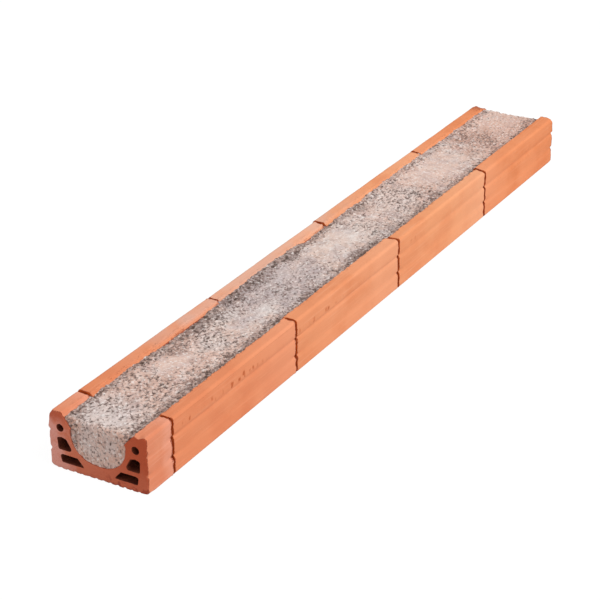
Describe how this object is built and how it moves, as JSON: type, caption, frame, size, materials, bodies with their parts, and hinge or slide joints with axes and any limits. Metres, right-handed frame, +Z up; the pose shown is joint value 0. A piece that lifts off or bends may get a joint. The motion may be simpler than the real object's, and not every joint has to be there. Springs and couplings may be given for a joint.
{
  "type": "ceramic lintel",
  "caption": "Straight masonry lintel: hollow extruded clay channel shells in a row, end to end with open joints, tied together by a concrete fill in their trough.",
  "frame": {"origin": "middle of the bearing face, at the bottom of the lintel", "axes": "+X along the lintel from the sawn short piece to the far end, +Y towards the left side seen from the short piece, +Z up, out of the trough's mouth"},
  "size_m": [1, 0.12, 0.065],
  "materials": {
    "fired_clay": "matt, unglazed, extruded and sawn",
    "concrete": "rough cast, open pored, with fine aggregate showing"
  },
  "bodies": {
    "root": {"clay_shell_1": "fired_clay", "clay_shell_2": "fired_clay", "clay_shell_3": "fired_clay", "clay_shell_4": "fired_clay", "clay_shell_5": "fired_clay", "concrete_fill": "concrete"}
  },
  "joints": []
}
